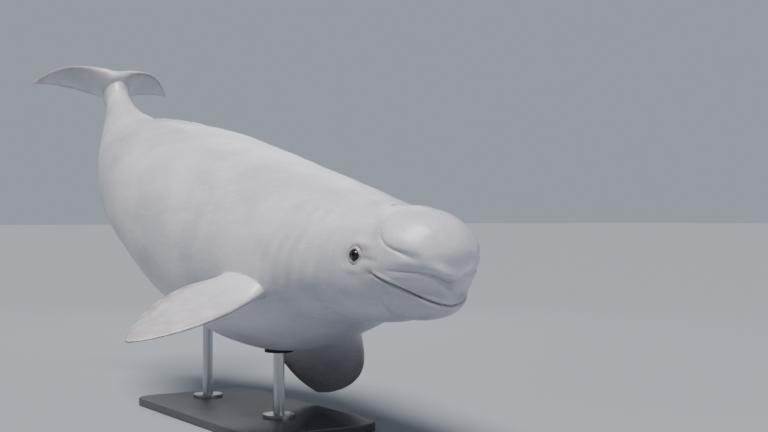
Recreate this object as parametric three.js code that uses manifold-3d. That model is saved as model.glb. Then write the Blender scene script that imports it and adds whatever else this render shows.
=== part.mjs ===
// A life-size beluga whale with its tail raised, held still by a plain display stand.
// Millimetres. +X runs towards the head, +Y to the whale's left, +Z up; the floor is z = 0.
//
// The whale is described straight first. There `back` is the distance behind the front of the
// melon, `side` is towards the whale's left and `up` towards its spine. The pose then bends the
// straight body along a curved spine and lifts it onto the stand.
import * as THREE from "three";
import Module from "manifold-3d";

const wasm = await Module();
wasm.setup();

// Overall size and fits
const LENGTH = 4000; // melon to fluke notch, along the spine
const GAP = 0.6; // kept between touching nodes
const RING_SIDES = 48; // points round the body
const HEAD_END = 600; // the head keeps closely spaced rings as far back as this
const BODY_STEP = 110; // ring spacing behind the head
const STOCK_END = 3760; // where the tail stock closes, inside the flukes

// The spine at shares of LENGTH, in degrees: its rise going backwards, its swing to the left
// and its roll
const POSE = [
  { at: 0.0, pitch: 3.9, yaw: 0, roll: -0.9 },
  { at: 0.1, pitch: 3.9, yaw: 0, roll: -0.9 },
  { at: 0.22, pitch: 0.3, yaw: -0.1, roll: -0.9 },
  { at: 0.45, pitch: 16.6, yaw: -0.7, roll: 0 },
  { at: 0.6, pitch: 11.4, yaw: -4, roll: 0 },
  { at: 0.75, pitch: 27.2, yaw: 3.1, roll: -0.7 },
  { at: 0.87, pitch: 38.1, yaw: 13.1, roll: -0.7 },
  { at: 0.93, pitch: 36, yaw: 6, roll: -1 },
  { at: 0.965, pitch: -4, yaw: -4, roll: -1 },
  { at: 1.0, pitch: -26, yaw: -12, roll: -1 },
];

// Body sections at shares of LENGTH: reach above and below the spine, and half the width
const SECTIONS = [
  { at: 0.0625, up: 144, down: 141, half: 161 },
  { at: 0.0825, up: 194, down: 187, half: 210 },
  { at: 0.1125, up: 235, down: 217, half: 259 },
  { at: 0.15, up: 262, down: 239, half: 304 },
  { at: 0.2, up: 310, down: 308, half: 354 },
  { at: 0.275, up: 371, down: 401, half: 380 },
  { at: 0.375, up: 404, down: 450, half: 425 },
  { at: 0.475, up: 387, down: 430, half: 460 },
  { at: 0.575, up: 365, down: 365, half: 405 },
  { at: 0.675, up: 324, down: 285, half: 296 },
  { at: 0.7625, up: 249, down: 213, half: 191 },
  { at: 0.8375, up: 175, down: 151, half: 110 },
  { at: 0.9, up: 108, down: 97, half: 64 },
  { at: 0.925, up: 72, down: 86, half: 54 },
  { at: 0.94, up: 24, down: 80, half: 44 },
];
const SQUARENESS = 2.15; // 2 is an ellipse
const TRUNK_NOSE = 150; // length of the rounded front of the trunk, inside the head
const TRUNK_BLEND = 110;

// Rounded masses of the head: centre and half-lengths along back, side and up
const MELON = { centre: [204, 0, 67], size: [205, 184, 158] };
const BEAK = { centre: [192, 0, -81], size: [162, 115, 68] };
const JAW = { centre: [229, 0, -98], size: [197, 113, 59] };
const BEAK_BLEND = 24;
const MELON_BLEND = 28;

// The rays that find the skin start here in the head, and swing forward from here
const FAN = { back: 250, up: 10, step: 6 };

// The mouth line seen round a point on the head's axis: swing from straight ahead, and height
const MOUTH_CENTRE = { back: 270, up: -60 };
const MOUTH = [
  { swing: 0, up: -103 },
  { swing: 10, up: -90 },
  { swing: 20, up: -75 },
  { swing: 33, up: -57 },
  { swing: 47, up: -40 },
  { swing: 64, up: -26 },
  { swing: 76, up: -19 },
  { swing: 88, up: -8 },
];
const LIP = { radius: 6, apart: 8 };
const MOUTH_GROOVE = { half: 3.5, depth: 9 };

// Creases of the head, in the same terms
const MELON_CREASE = [
  { back: 236, up: 148 },
  { back: 201, up: 119 },
  { back: 170, up: 100 },
  { back: 141, up: 89 },
  { back: 109, up: 77 },
  { back: 80, up: 69 },
];
const CREASE = { half: 6, depth: 5 };

const EYE = { back: 334, up: 53, radius: 28, proud: 9 };
const LID = { along: 25, across: 22, upper: 7, lower: 5 };
const BROW = { reach: 48, rise: 40, radius: 9, sunk: 5 };
const BLOWHOLE = { back: 402, side: 12, half: 36, bow: 16, width: 4, depth: 14 };
const BELLY_SLIT = { from: 2480, to: 2640, half: 5, depth: 10 };

// The low ridge along the back that stands in for a dorsal fin
const RIDGE = { from: 2080, to: 2920, height: 17, half: 26, notches: 6, notch: 0.3, sunk: 30 };

// Where the body is divided, as distances back
const PARTS = [
  { name: "head", from: -500, to: 600 },
  { name: "neck", from: 600, to: 840 },
  { name: "chest", from: 840, to: 1400 },
  { name: "torso", from: 1400, to: 2500 },
  { name: "tail_stock", from: 2500, to: 5000 },
];

// The flukes are one stiff blade turned about the spine at its hub
const FLUKE = { halfSpan: 400, lead: 3590, tip: 4100, notch: 3825, lobe: 45, thick: 46, edge: 5 };
const FLUKE_RISE = { slope: 1.03, droop: 131, lift: -90, round: 60 };
const FLUKE_HUB = { back: 3800, pitch: -27.8, yaw: 7.2, roll: 3.9, inside: 3630 };

const FLIPPER = { length: 650, width: 400, root: 0.6, thick: 50, edge: 6, sweep: 5, curl: 25 };
const FLIPPERS = [
  { name: "flipper_left", hand: 1, back: 1110, side: 128, up: -235, spread: 31, droop: 51, pitch: 14 },
  { name: "flipper_right", hand: -1, back: 970, side: 253, up: -48, spread: 97, droop: 23, pitch: 10 },
];

// The stand
const CLEARANCE = 80; // floor to the lowest flipper tip
const BASE = { back: 1620, long: 1300, wide: 620, high: 36, corner: 90, bevel: 6 };
const RODS = [
  { name: "front", back: 1330 },
  { name: "rear", back: 2080 },
];
const ROD = { radius: 24, flange: 70, flangeHigh: 14, pad: 62, padHigh: 26 };

const SKIN = 0xdfe2e8;
const SKIN_EDGE = 0xb9b5b6;
const EYE_COLOUR = 0x15171c;
const BASE_COLOUR = 0x3b3e43;
const STEEL = 0xb8bcc2;
const RUBBER = 0x1d1e20;

const radians = THREE.MathUtils.degToRad;
const clamp = THREE.MathUtils.clamp;
const vector = (x, y, z) => new THREE.Vector3(x, y, z);

// A smooth curve through one column of a table; `key` names the column it runs along
function tableValue(rows, key, column, at) {
  const last = rows.length - 1;
  if (at <= rows[0][key]) return rows[0][column];
  if (at >= rows[last][key]) return rows[last][column];
  let i = 0;
  while (rows[i + 1][key] < at) i += 1;
  const slope = (k) => {
    const before = rows[Math.max(0, k - 1)];
    const after = rows[Math.min(last, k + 1)];
    return (after[column] - before[column]) / (after[key] - before[key]);
  };
  const span = rows[i + 1][key] - rows[i][key];
  const t = (at - rows[i][key]) / span;
  const ease = t * t * (3 - 2 * t);
  const leaving = t * (1 - t) * (1 - t) * span * slope(i);
  const arriving = t * t * (1 - t) * span * slope(i + 1);
  const rise = rows[i + 1][column] - rows[i][column];
  return rows[i][column] + rise * ease + leaving - arriving;
}

// Directions along the bent spine: aft, to the whale's left and out of its back
function headings(back) {
  const at = Math.max(0, back) / LENGTH;
  return headingsOf(...["pitch", "yaw", "roll"].map((key) => tableValue(POSE, "at", key, at)));
}

function headingsOf(...degrees) {
  const [pitch, yaw, roll] = degrees.map(radians);
  const level = Math.cos(pitch);
  const aft = vector(-level * Math.cos(yaw), level * Math.sin(yaw), Math.sin(pitch));
  const left = vector(0, 0, -1).cross(aft).normalize();
  const top = left.clone().cross(aft);
  left.applyAxisAngle(aft, roll);
  top.applyAxisAngle(aft, roll);
  return { aft, left, top };
}

// The spine walked backwards in short steps from the front of the melon
const STEP = 10;
const spine = [vector(0, 0, 0)];
for (let back = 0; back < LENGTH * 1.1; back += STEP) {
  const { aft } = headings(back + STEP / 2);
  spine.push(spine[spine.length - 1].clone().addScaledVector(aft, STEP));
}

// A point of the straight whale, where the pose puts it
function posed(back, side, up) {
  const at = Math.max(0, back) / STEP;
  const i = Math.min(spine.length - 2, Math.floor(at));
  const point = spine[i].clone().lerp(spine[i + 1], at - i);
  const { aft, left, top } = headings(back);
  point.addScaledVector(aft, Math.min(0, back));
  return point.addScaledVector(left, side).addScaledVector(top, up);
}

// Distances from the skin of the straight whale, negative inside
function massField({ centre, size }, point) {
  const offset = point.map((value, i) => value - centre[i]);
  const near = Math.hypot(...offset.map((value, i) => value / size[i]));
  const steep = Math.hypot(...offset.map((value, i) => value / size[i] ** 2));
  return steep === 0 ? -Math.min(...size) : (near * (near - 1)) / steep;
}

function trunkField([back, side, up]) {
  const first = SECTIONS[0].at * LENGTH;
  const at = Math.max(back, first) / LENGTH;
  const half = tableValue(SECTIONS, "at", "half", at);
  const reach = tableValue(SECTIONS, "at", up > 0 ? "up" : "down", at);
  const across = Math.abs(side / half) ** SQUARENESS + Math.abs(up / reach) ** SQUARENESS;
  const ahead = Math.max(0, first - back) / TRUNK_NOSE;
  return (Math.hypot(across ** (1 / SQUARENESS), ahead) - 1) * Math.min(half, reach);
}

function blend(a, b, width) {
  const overlap = Math.max(0, width - Math.abs(a - b)) / width;
  return Math.min(a, b) - overlap * overlap * width * 0.25;
}

function skinField(point) {
  const snout = blend(massField(BEAK, point), massField(JAW, point), BEAK_BLEND);
  const front = blend(massField(MELON, point), snout, MELON_BLEND);
  return blend(trunkField(point), front, TRUNK_BLEND);
}

// The distance from a start inside the whale to its skin, along a direction
function reachOf(start, direction) {
  const field = (t) => skinField(start.map((value, i) => value + direction[i] * t));
  let outside = 640;
  let inside = 624;
  while (inside > 0 && field(inside) > 0) {
    outside = inside;
    inside -= 16;
  }
  for (let n = 0; n < 20; n += 1) {
    const middle = (inside + outside) / 2;
    if (field(middle) > 0) outside = middle;
    else inside = middle;
  }
  return (inside + outside) / 2;
}

function skinFrom(start, direction, proud = 0) {
  const reach = reachOf(start, direction) + proud;
  return start.map((value, i) => value + direction[i] * reach);
}

const onSide = (back, up, hand) => skinFrom([back, 0, up], [0, hand, 0]);
const onTop = (back, side) => skinFrom([back, side, 0], [0, 0, 1]);
const onBelly = (back, side) => skinFrom([back, side, 0], [0, 0, -1]);

// The outward direction of the skin at a point
function skinNormal(point) {
  const slope = [0, 1, 2].map((axis) => {
    const ahead = point.map((value, i) => value + (i === axis ? 1 : 0));
    const behind = point.map((value, i) => value - (i === axis ? 1 : 0));
    return skinField(ahead) - skinField(behind);
  });
  return vector(...slope).normalize();
}

// A solid from rings of equally many points, closed at both ends
function loft(rings, firstPole = null, lastPole = null) {
  const sides = rings[0].length;
  const middle = (ring) => [0, 1, 2].map((i) => ring.reduce((sum, p) => sum + p[i], 0) / sides);
  const points = rings.flat();
  const first = points.length;
  const tail = (rings.length - 1) * sides;
  points.push(firstPole ?? middle(rings[0]), lastPole ?? middle(rings[rings.length - 1]));
  const faces = [];
  for (let n = 0; n < sides; n += 1) {
    const m = (n + 1) % sides;
    for (let k = 0; k < tail; k += sides) {
      faces.push([k + n, k + m, k + sides + m], [k + n, k + sides + m, k + sides + n]);
    }
    faces.push([first, m, n], [first + 1, tail + n, tail + m]);
  }
  return { points, faces };
}

// A loft as a solid, with its points moved by `place` and its faces turned outward
function solid({ points, faces }, place = posed) {
  const at = points.map((point) => place(...point));
  const volume = faces.reduce((sum, [a, b, c]) => sum + at[a].dot(at[b].clone().cross(at[c])), 0);
  const turned = volume > 0 ? faces : faces.map(([a, b, c]) => [a, c, b]);
  const vertProperties = new Float32Array(at.flatMap((point) => point.toArray()));
  const triVerts = new Uint32Array(turned.flat());
  return new wasm.Manifold(new wasm.Mesh({ numProp: 3, vertProperties, triVerts }));
}

// The whole body, with its skin moved outward by `proud`
function bodySolid(proud = 0) {
  const rings = [];
  const addRing = (back, up, swing) => {
    const ring = [];
    for (let n = 0; n < RING_SIDES; n += 1) {
      const turn = (n / RING_SIDES) * Math.PI * 2;
      const across = Math.cos(radians(swing));
      const ahead = -Math.sin(radians(swing));
      const direction = [ahead, across * Math.sin(turn), across * Math.cos(turn)];
      ring.push(skinFrom([back, 0, up], direction, proud));
    }
    rings.push(ring);
  };
  for (let swing = 90 - FAN.step; swing > 0; swing -= FAN.step) addRing(FAN.back, FAN.up, swing);
  for (let back = FAN.back; back < HEAD_END; back += 32) {
    addRing(back, FAN.up * (1 - (back - FAN.back) / (HEAD_END - FAN.back)), 0);
  }
  for (let back = HEAD_END; back < STOCK_END; back += BODY_STEP) addRing(back, 0, 0);
  addRing(STOCK_END, 0, 0);
  const nose = skinFrom([FAN.back, 0, FAN.up], [-1, 0, 0], proud);
  return solid(loft(rings, nose, [STOCK_END + proud, 0, -30]));
}

// A strand that follows the skin: an oval section, `half` wide and `high` out of the skin,
// with its middle raised by `lift`
function strand(path, { half, high, lift = 0, sides = 6, taper = 0 }) {
  const rings = path.map((point, i) => {
    const before = vector(...path[Math.max(0, i - 1)]);
    const after = vector(...path[Math.min(path.length - 1, i + 1)]);
    const normal = skinNormal(point);
    const across = after.sub(before).cross(normal).normalize();
    const toEnd = Math.min(i, path.length - 1 - i);
    const size = taper ? clamp((toEnd + 0.35) / taper, 0, 1) : 1;
    const centre = vector(...point).addScaledVector(normal, lift * size);
    return Array.from({ length: sides }, (_, n) => {
      const turn = (n / sides) * Math.PI * 2;
      const corner = centre.clone();
      corner.addScaledVector(across, Math.cos(turn) * half * size);
      corner.addScaledVector(normal, Math.sin(turn) * high * size);
      return corner.toArray();
    });
  });
  return solid(loft(rings));
}

// A groove along the skin: a diamond section to cut away
function groove(path, half, depth, taper = 3) {
  return strand(path, { half, high: depth, sides: 4, taper });
}

// The mouth line from one corner round the tip of the snout to the other, moved up by `raise`
function mouthPath(raise = 0, widest = 88) {
  const path = [];
  const count = 12;
  for (let n = -count; n <= count; n += 1) {
    const swing = (n / count) * widest;
    const up = tableValue(MOUTH, "swing", "up", Math.abs(swing)) + raise;
    const direction = [-Math.cos(radians(swing)), Math.sin(radians(swing)), 0];
    path.push(skinFrom([MOUTH_CENTRE.back, 0, up], direction));
  }
  return path;
}

// The block that takes the lower jaw out of the head: it opens from the mouth centre out
// through the mouth line, and slants back below the mouth corners
function jawBlock(shift = 0) {
  const centre = [MOUTH_CENTRE.back + shift * 0.5, 0, MOUTH_CENTRE.up + shift];
  const rim = mouthPath().map((point) => point.map((value, i) => {
    const from = [MOUTH_CENTRE.back, 0, MOUTH_CENTRE.up][i];
    return from + (value - from) * 1.7 + [shift * 0.5, 0, shift][i];
  }));
  const sunk = ([back, side]) => [back + 190, side, -420];
  const points = [centre, ...rim, sunk(centre), ...rim.map(sunk)];
  const low = rim.length + 1;
  const faces = [];
  for (let n = 1; n < rim.length; n += 1) {
    faces.push([0, n, n + 1], [low, low + n + 1, low + n]);
    faces.push([n, low + n, low + n + 1], [n, low + n + 1, n + 1]);
  }
  faces.push([0, low, low + 1], [0, low + 1, 1]);
  faces.push([0, rim.length, low + rim.length], [0, low + rim.length, low]);
  return solid({ points, faces });
}

// The eyes
function eyeFrame(hand) {
  const skin = onSide(EYE.back, EYE.up, hand);
  const normal = skinNormal(skin);
  const along = vector(1, 0, 0).addScaledVector(normal, -normal.x).normalize();
  const across = normal.clone().cross(along);
  if (across.z < 0) across.negate();
  return { skin: vector(...skin), normal, along, across };
}

function eyeball(hand, radius) {
  const { skin, normal, along, across } = eyeFrame(hand);
  const centre = skin.clone().addScaledVector(normal, EYE.proud - EYE.radius);
  const rings = [];
  for (let tilt = 15; tilt < 180; tilt += 15) {
    rings.push(Array.from({ length: 18 }, (_, n) => {
      const turn = (n / 18) * Math.PI * 2;
      const wide = Math.sin(radians(tilt)) * radius;
      const point = centre.clone().addScaledVector(normal, Math.cos(radians(tilt)) * radius);
      point.addScaledVector(along, Math.cos(turn) * wide);
      return point.addScaledVector(across, Math.sin(turn) * wide).toArray();
    }));
  }
  const front = centre.clone().addScaledVector(normal, radius).toArray();
  const rear = centre.clone().addScaledVector(normal, -radius).toArray();
  return solid(loft(rings, front, rear));
}

// Lids as a rounded roll round the eye, heavier above
function lids(hand) {
  const { skin, normal, along, across } = eyeFrame(hand);
  const sides = 6;
  const turns = 20;
  const points = [];
  const faces = [];
  for (let n = 0; n < turns; n += 1) {
    const turn = (n / turns) * Math.PI * 2;
    const outward = along.clone().multiplyScalar(Math.cos(turn));
    outward.addScaledVector(across, Math.sin(turn));
    const middle = skin.clone().addScaledVector(along, Math.cos(turn) * LID.along);
    middle.addScaledVector(across, Math.sin(turn) * LID.across);
    const radius = LID.lower + ((LID.upper - LID.lower) * (1 + Math.sin(turn))) / 2;
    for (let k = 0; k < sides; k += 1) {
      const roll = (k / sides) * Math.PI * 2;
      const point = middle.clone().addScaledVector(outward, Math.cos(roll) * radius);
      points.push(point.addScaledVector(normal, Math.sin(roll) * radius).toArray());
      const next = ((n + 1) % turns) * sides;
      const beside = (k + 1) % sides;
      faces.push([n * sides + k, next + k, next + beside]);
      faces.push([n * sides + k, next + beside, n * sides + beside]);
    }
  }
  return solid({ points, faces });
}

function brow(hand) {
  const path = [];
  for (let n = -6; n <= 6; n += 1) {
    const across = n / 6;
    const up = EYE.up + BROW.rise * (1 - across * across * 0.8);
    path.push(onSide(EYE.back + across * BROW.reach, up, hand));
  }
  return strand(path, { half: 16, high: BROW.radius, lift: -BROW.sunk, sides: 8, taper: 4 });
}

function blowhole() {
  const path = [];
  for (let n = -5; n <= 5; n += 1) {
    const across = n / 5;
    const back = BLOWHOLE.back - BLOWHOLE.bow * across * across;
    path.push(onTop(back, BLOWHOLE.side + across * BLOWHOLE.half));
  }
  return groove(path, BLOWHOLE.width, BLOWHOLE.depth, 2);
}

function bellySlit() {
  const path = [];
  for (let back = BELLY_SLIT.from; back <= BELLY_SLIT.to; back += 20) path.push(onBelly(back, 0));
  return groove(path, BELLY_SLIT.half, BELLY_SLIT.depth, 3);
}

function melonCrease(hand) {
  const path = MELON_CREASE.map(({ back, up }) => onSide(back, up, hand));
  return groove(path, CREASE.half, CREASE.depth, 2);
}

// The ridge: low rounded sections standing on the back, lower at each notch
function ridge() {
  const rings = [];
  const count = 17;
  for (let n = 0; n <= count; n += 1) {
    const share = n / count;
    const back = RIDGE.from + (RIDGE.to - RIDGE.from) * share;
    const swell = Math.sin(Math.PI * share) ** 0.6;
    const wave = Math.abs(Math.sin(share * Math.PI * RIDGE.notches));
    const height = RIDGE.height * swell * (1 - RIDGE.notch * (1 - wave ** 0.5));
    const foot = onTop(back, 0)[2];
    rings.push([-1, -0.6, -0.22, 0.22, 0.6, 1].map((across) => {
      const raise = height * (1 - across * across) - 4 * across * across;
      return [back, across * RIDGE.half, foot + raise];
    }));
    const base = foot - RIDGE.sunk;
    rings[n].push([back, RIDGE.half * 0.7, base], [back, -RIDGE.half * 0.7, base]);
  }
  return solid(loft(rings));
}

// A blade is a stack of sections from root to tip. Each goes round its chord, from the leading
// edge over the top to the trailing edge and back underneath.
function bladeSection({ lead, trail, thick, edge, out }, sides) {
  return Array.from({ length: sides }, (_, n) => {
    const turn = (n / sides) * Math.PI * 2;
    const chord = (1 - Math.cos(turn)) / 2;
    const belly = 2.6 * Math.sqrt(chord) * (1 - chord) * thick * 0.5;
    const rim = edge * Math.sqrt(chord * (1 - chord));
    const face = Math.sign(Math.round(Math.sin(turn) * 1e6)) * (belly + rim);
    return [lead + (trail - lead) * chord, out, face];
  });
}

function flukeSolid(hand) {
  const sections = [];
  const count = 18;
  const hub = posed(FLUKE_HUB.back, 0, 0);
  const { aft, left, top } = headingsOf(FLUKE_HUB.pitch, FLUKE_HUB.yaw, FLUKE_HUB.roll);
  for (let n = 0; n <= count; n += 1) {
    const share = Math.sin(((n / count) * Math.PI) / 2);
    const out = GAP / 2 + (FLUKE.halfSpan - GAP / 2) * share;
    const edge = FLUKE.lead + (FLUKE.tip - FLUKE.lead) * (0.45 * share + 0.55 * share ** 3);
    const lead = Math.max(FLUKE_HUB.inside, edge);
    const lobe = FLUKE.lobe * Math.sin(Math.PI * share ** 0.8);
    const rear = FLUKE.notch + (FLUKE.tip + 12 - FLUKE.notch) * share ** 1.5 + lobe;
    const trail = Math.max(rear, lead + 10);
    const thick = FLUKE.thick * (1 - share) ** 0.75 + 3;
    sections.push(bladeSection({ lead, trail, thick, edge: FLUKE.edge, out }, 24));
  }
  return solid(loft(sections), (back, out, face) => {
    const share = out / FLUKE.halfSpan;
    const rise = FLUKE_RISE.slope * Math.hypot(out, FLUKE_RISE.round) - FLUKE_RISE.droop * share ** 2;
    const point = hub.clone().addScaledVector(aft, back - FLUKE_HUB.back);
    return point.addScaledVector(left, hand * out).addScaledVector(top, face + rise + FLUKE_RISE.lift);
  });
}

function flipperSolid({ hand, back, side, up, spread, droop, pitch }) {
  const level = Math.cos(radians(droop));
  const span = vector(level * Math.cos(radians(spread)), hand * level * Math.sin(radians(spread)), 0);
  span.z = -Math.sin(radians(droop));
  const flat = vector(0, 0, 1).addScaledVector(span, -span.z).normalize();
  const chord = flat.clone().cross(span).multiplyScalar(hand);
  if (chord.x < 0) chord.negate();
  chord.applyAxisAngle(span, radians(pitch) * -hand);
  flat.applyAxisAngle(span, radians(pitch) * -hand);
  const sections = [];
  const count = 16;
  for (let n = 0; n <= count; n += 1) {
    const share = Math.sin(((n / count) * Math.PI) / 2);
    const swell = FLIPPER.root + (1 - FLIPPER.root) * Math.sin(Math.PI * Math.min(1, share * 0.85));
    const round = Math.max(0.03, 1 - share ** 2.6) ** 0.6;
    const width = FLIPPER.width * swell * round;
    const sweep = FLIPPER.sweep * share * share;
    const lead = sweep - width * 0.45;
    const thick = FLIPPER.thick * (1 - share) ** 0.8 + 4;
    const out = FLIPPER.length * share;
    sections.push(bladeSection({ lead, trail: lead + width, thick, edge: FLIPPER.edge, out }, 24));
  }
  return solid(loft(sections), (along, out, face) => {
    const point = vector(back, hand * side, up).addScaledVector(span, out);
    const curl = FLIPPER.curl * (out / FLIPPER.length) ** 2;
    point.addScaledVector(chord, along).addScaledVector(flat, face + curl);
    return posed(point.x, point.y, point.z);
  });
}

// The part of a solid between two of the body's dividing planes
function between(body, from, to) {
  let part = body;
  if (from > 0) {
    const { aft } = headings(from);
    part = part.trimByPlane(aft.toArray(), aft.dot(posed(from, 0, 0)) + GAP / 2);
  }
  if (to < LENGTH) {
    const ahead = headings(to).aft.negate();
    part = part.trimByPlane(ahead.toArray(), ahead.dot(posed(to, 0, 0)) + GAP / 2);
  }
  return part;
}

// The whale
const nodes = [];
const keep = (name, body, colour, roughness = 0.5, metalness = 0) => {
  nodes.push({ name, body, colour, roughness, metalness });
};

const hands = [1, -1];
const grown = bodySolid(GAP);
let flesh = bodySolid().add(ridge()).subtract(bellySlit());
for (const hand of hands) flesh = flesh.add(lids(hand)).add(brow(hand));
const lipShape = { half: LIP.radius, high: LIP.radius, lift: -LIP.radius * 0.45, taper: 5 };
flesh = flesh.add(strand(mouthPath(LIP.apart, 84), lipShape));
flesh = flesh.add(strand(mouthPath(-LIP.apart, 84), lipShape));
flesh = flesh.subtract(groove(mouthPath(0, 90), MOUTH_GROOVE.half, MOUTH_GROOVE.depth));
flesh = flesh.subtract(blowhole());
for (const hand of hands) {
  flesh = flesh.subtract(eyeball(hand, EYE.radius + GAP)).subtract(melonCrease(hand));
}

for (const { name, from, to } of PARTS) {
  const part = between(flesh, from, to);
  if (name !== "head") {
    keep(name, part, SKIN);
    continue;
  }
  keep("head", part.subtract(jawBlock(GAP)), SKIN);
  keep("lower_jaw", part.intersect(jawBlock()), SKIN);
}
for (const hand of hands) {
  const name = hand > 0 ? "left" : "right";
  keep(`eye_${name}`, eyeball(hand, EYE.radius), EYE_COLOUR, 0.1);
  keep(`fluke_${name}`, flukeSolid(hand).subtract(grown), SKIN_EDGE);
}
for (const flipper of FLIPPERS) {
  keep(flipper.name, flipperSolid(flipper).subtract(grown), SKIN_EDGE);
}

// The stand, in place on the floor under the whale
const lowest = Math.min(...nodes.map(({ body }) => body.boundingBox().min[2]));
const floor = lowest - CLEARANCE;

function roundedSlab() {
  const { long, wide, high, corner, bevel } = BASE;
  const [x, y] = [long / 2 - bevel, wide / 2 - bevel];
  const shape = new THREE.Shape();
  shape.moveTo(-x + corner, -y);
  shape.lineTo(x - corner, -y).absarc(x - corner, -y + corner, corner, -Math.PI / 2, 0);
  shape.lineTo(x, y - corner).absarc(x - corner, y - corner, corner, 0, Math.PI / 2);
  shape.lineTo(-x + corner, y).absarc(-x + corner, y - corner, corner, Math.PI / 2, Math.PI);
  shape.lineTo(-x, -y + corner);
  shape.absarc(-x + corner, -y + corner, corner, Math.PI, Math.PI * 1.5);
  const depth = high - bevel * 2;
  const options = { depth, bevelThickness: bevel, bevelSize: bevel, bevelSegments: 2, curveSegments: 5 };
  return new THREE.ExtrudeGeometry(shape, options).translate(0, 0, bevel);
}

// A round bar between two heights, as a solid
function bar(radius, low, high, sides = 32) {
  const ring = (z) => Array.from({ length: sides }, (_, n) => {
    const turn = (n / sides) * Math.PI * 2;
    return [Math.cos(turn) * radius, Math.sin(turn) * radius, z];
  });
  return solid(loft([ring(low), ring(high)]), vector);
}

const baseTop = floor + BASE.high + GAP;
for (const { name, back } of RODS) {
  const at = posed(back, 0, 0);
  const move = (shape) => shape.translate([at.x, at.y, 0]);
  const belly = move(bar(ROD.pad, floor, at.z)).intersect(grown).boundingBox().min[2];
  const padLow = belly - ROD.padHigh * 0.5;
  const pad = move(bar(ROD.pad, padLow, belly + 90)).subtract(grown);
  const rod = move(bar(ROD.radius, baseTop, padLow - GAP));
  const hole = move(bar(ROD.radius + GAP, baseTop - 10, baseTop + 100));
  keep(`stand_pad_${name}`, pad, RUBBER, 0.8);
  keep(`stand_rod_${name}`, rod, STEEL, 0.3, 1);
  const flange = move(bar(ROD.flange, baseTop, baseTop + ROD.flangeHigh)).subtract(hole);
  keep(`stand_flange_${name}`, flange, STEEL, 0.3, 1);
}

// Everything is named, centred over the origin and stood on the floor
const group = new THREE.Group();
group.name = "beluga_whale";

function add(name, geometry, colour, roughness, metalness) {
  const material = new THREE.MeshStandardMaterial({ color: colour, roughness, metalness });
  const mesh = new THREE.Mesh(geometry, material);
  mesh.name = name;
  group.add(mesh);
}

for (const { name, body, colour, roughness, metalness } of nodes) {
  const pieces = body.decompose().sort((a, b) => b.volume() - a.volume());
  const { vertProperties, triVerts } = pieces[0].getMesh();
  const geometry = new THREE.BufferGeometry();
  geometry.setAttribute("position", new THREE.BufferAttribute(vertProperties, 3));
  geometry.setIndex(new THREE.BufferAttribute(triVerts, 1));
  add(name, geometry, colour, roughness, metalness);
}
const base = posed(BASE.back, 0, 0);
add("stand_base", roundedSlab().translate(base.x, base.y, floor), BASE_COLOUR, 0.5, 0);

const box = new THREE.Box3().setFromObject(group);
const centre = box.getCenter(vector(0, 0, 0));
for (const mesh of group.children) mesh.geometry.translate(-centre.x, -centre.y, -floor);

export default group;
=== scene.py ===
"""A life-size beluga whale with its tail raised, on a plain display stand.

The whale is described straight first, in millimetres: `back` is the distance behind the front
of the melon, `side` is towards its left and `up` towards its spine. The pose bends that body
along a curved spine, and the finished pieces are in metres.
"""
import math

import bpy
import numpy as np
from bpy.props import FloatProperty, FloatVectorProperty, IntProperty, PointerProperty
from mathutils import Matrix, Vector
from mathutils.kdtree import KDTree


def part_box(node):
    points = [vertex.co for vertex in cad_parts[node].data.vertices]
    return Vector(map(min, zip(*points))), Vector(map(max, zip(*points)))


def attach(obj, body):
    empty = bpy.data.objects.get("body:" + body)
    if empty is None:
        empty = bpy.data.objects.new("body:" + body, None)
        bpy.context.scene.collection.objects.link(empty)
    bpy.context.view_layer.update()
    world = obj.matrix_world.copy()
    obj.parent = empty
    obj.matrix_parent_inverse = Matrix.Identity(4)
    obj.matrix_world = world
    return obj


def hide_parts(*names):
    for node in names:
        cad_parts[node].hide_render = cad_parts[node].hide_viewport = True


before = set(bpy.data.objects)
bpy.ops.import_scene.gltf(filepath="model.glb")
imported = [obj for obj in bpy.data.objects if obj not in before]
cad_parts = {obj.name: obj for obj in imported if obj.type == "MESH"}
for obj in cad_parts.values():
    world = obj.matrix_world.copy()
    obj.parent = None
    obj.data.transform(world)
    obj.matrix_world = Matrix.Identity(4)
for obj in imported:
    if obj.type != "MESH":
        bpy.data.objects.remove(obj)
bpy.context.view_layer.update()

bl_info = {
    "name": "Beluga whale display",
    "version": (1, 0, 0),
    "blender": (4, 5, 0),
    "location": "3D View > Sidebar > Whale",
    "description": "Skin, eyes, stand and stage of a life-size beluga whale",
    "category": "Object",
}

FLESH = ("head", "lower_jaw", "neck", "chest", "torso", "tail_stock")
BLADES = ("fluke_left", "fluke_right", "flipper_left", "flipper_right")

# The straight whale: the same values as the solids it covers, but a fuller end of the tail stock
LENGTH = 4000.0
STOCK_END = 3760.0
STOCK_END_UP = -30
# share of length, pitch, yaw, roll
POSE = np.array([
    (0.0, 3.9, 0, -0.9),
    (0.1, 3.9, 0, -0.9),
    (0.22, 0.3, -0.1, -0.9),
    (0.45, 16.6, -0.7, 0),
    (0.6, 11.4, -4, 0),
    (0.75, 27.2, 3.1, -0.7),
    (0.87, 38.1, 13.1, -0.7),
    (0.93, 36, 6, -1),
    (0.965, -4, -4, -1),
    (1.0, -26, -12, -1),
])
# share of length, reach up, reach down, half width
SECTIONS = np.array([
    (0.0625, 144, 141, 161),
    (0.0825, 194, 187, 210),
    (0.1125, 235, 217, 259),
    (0.15, 262, 239, 304),
    (0.2, 310, 308, 354),
    (0.275, 371, 401, 380),
    (0.375, 404, 450, 425),
    (0.475, 387, 430, 460),
    (0.575, 365, 365, 405),
    (0.675, 324, 285, 296),
    (0.7625, 249, 213, 191),
    (0.8375, 175, 151, 110),
    (0.9, 112, 97, 65),
    (0.9125, 123, 92, 66),
    (0.925, 124, 86, 72),
    (0.94, 24, 80, 62),
])
SQUARENESS = 2.15
TRUNK_NOSE = 150
TRUNK_BLEND = 110
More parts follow.
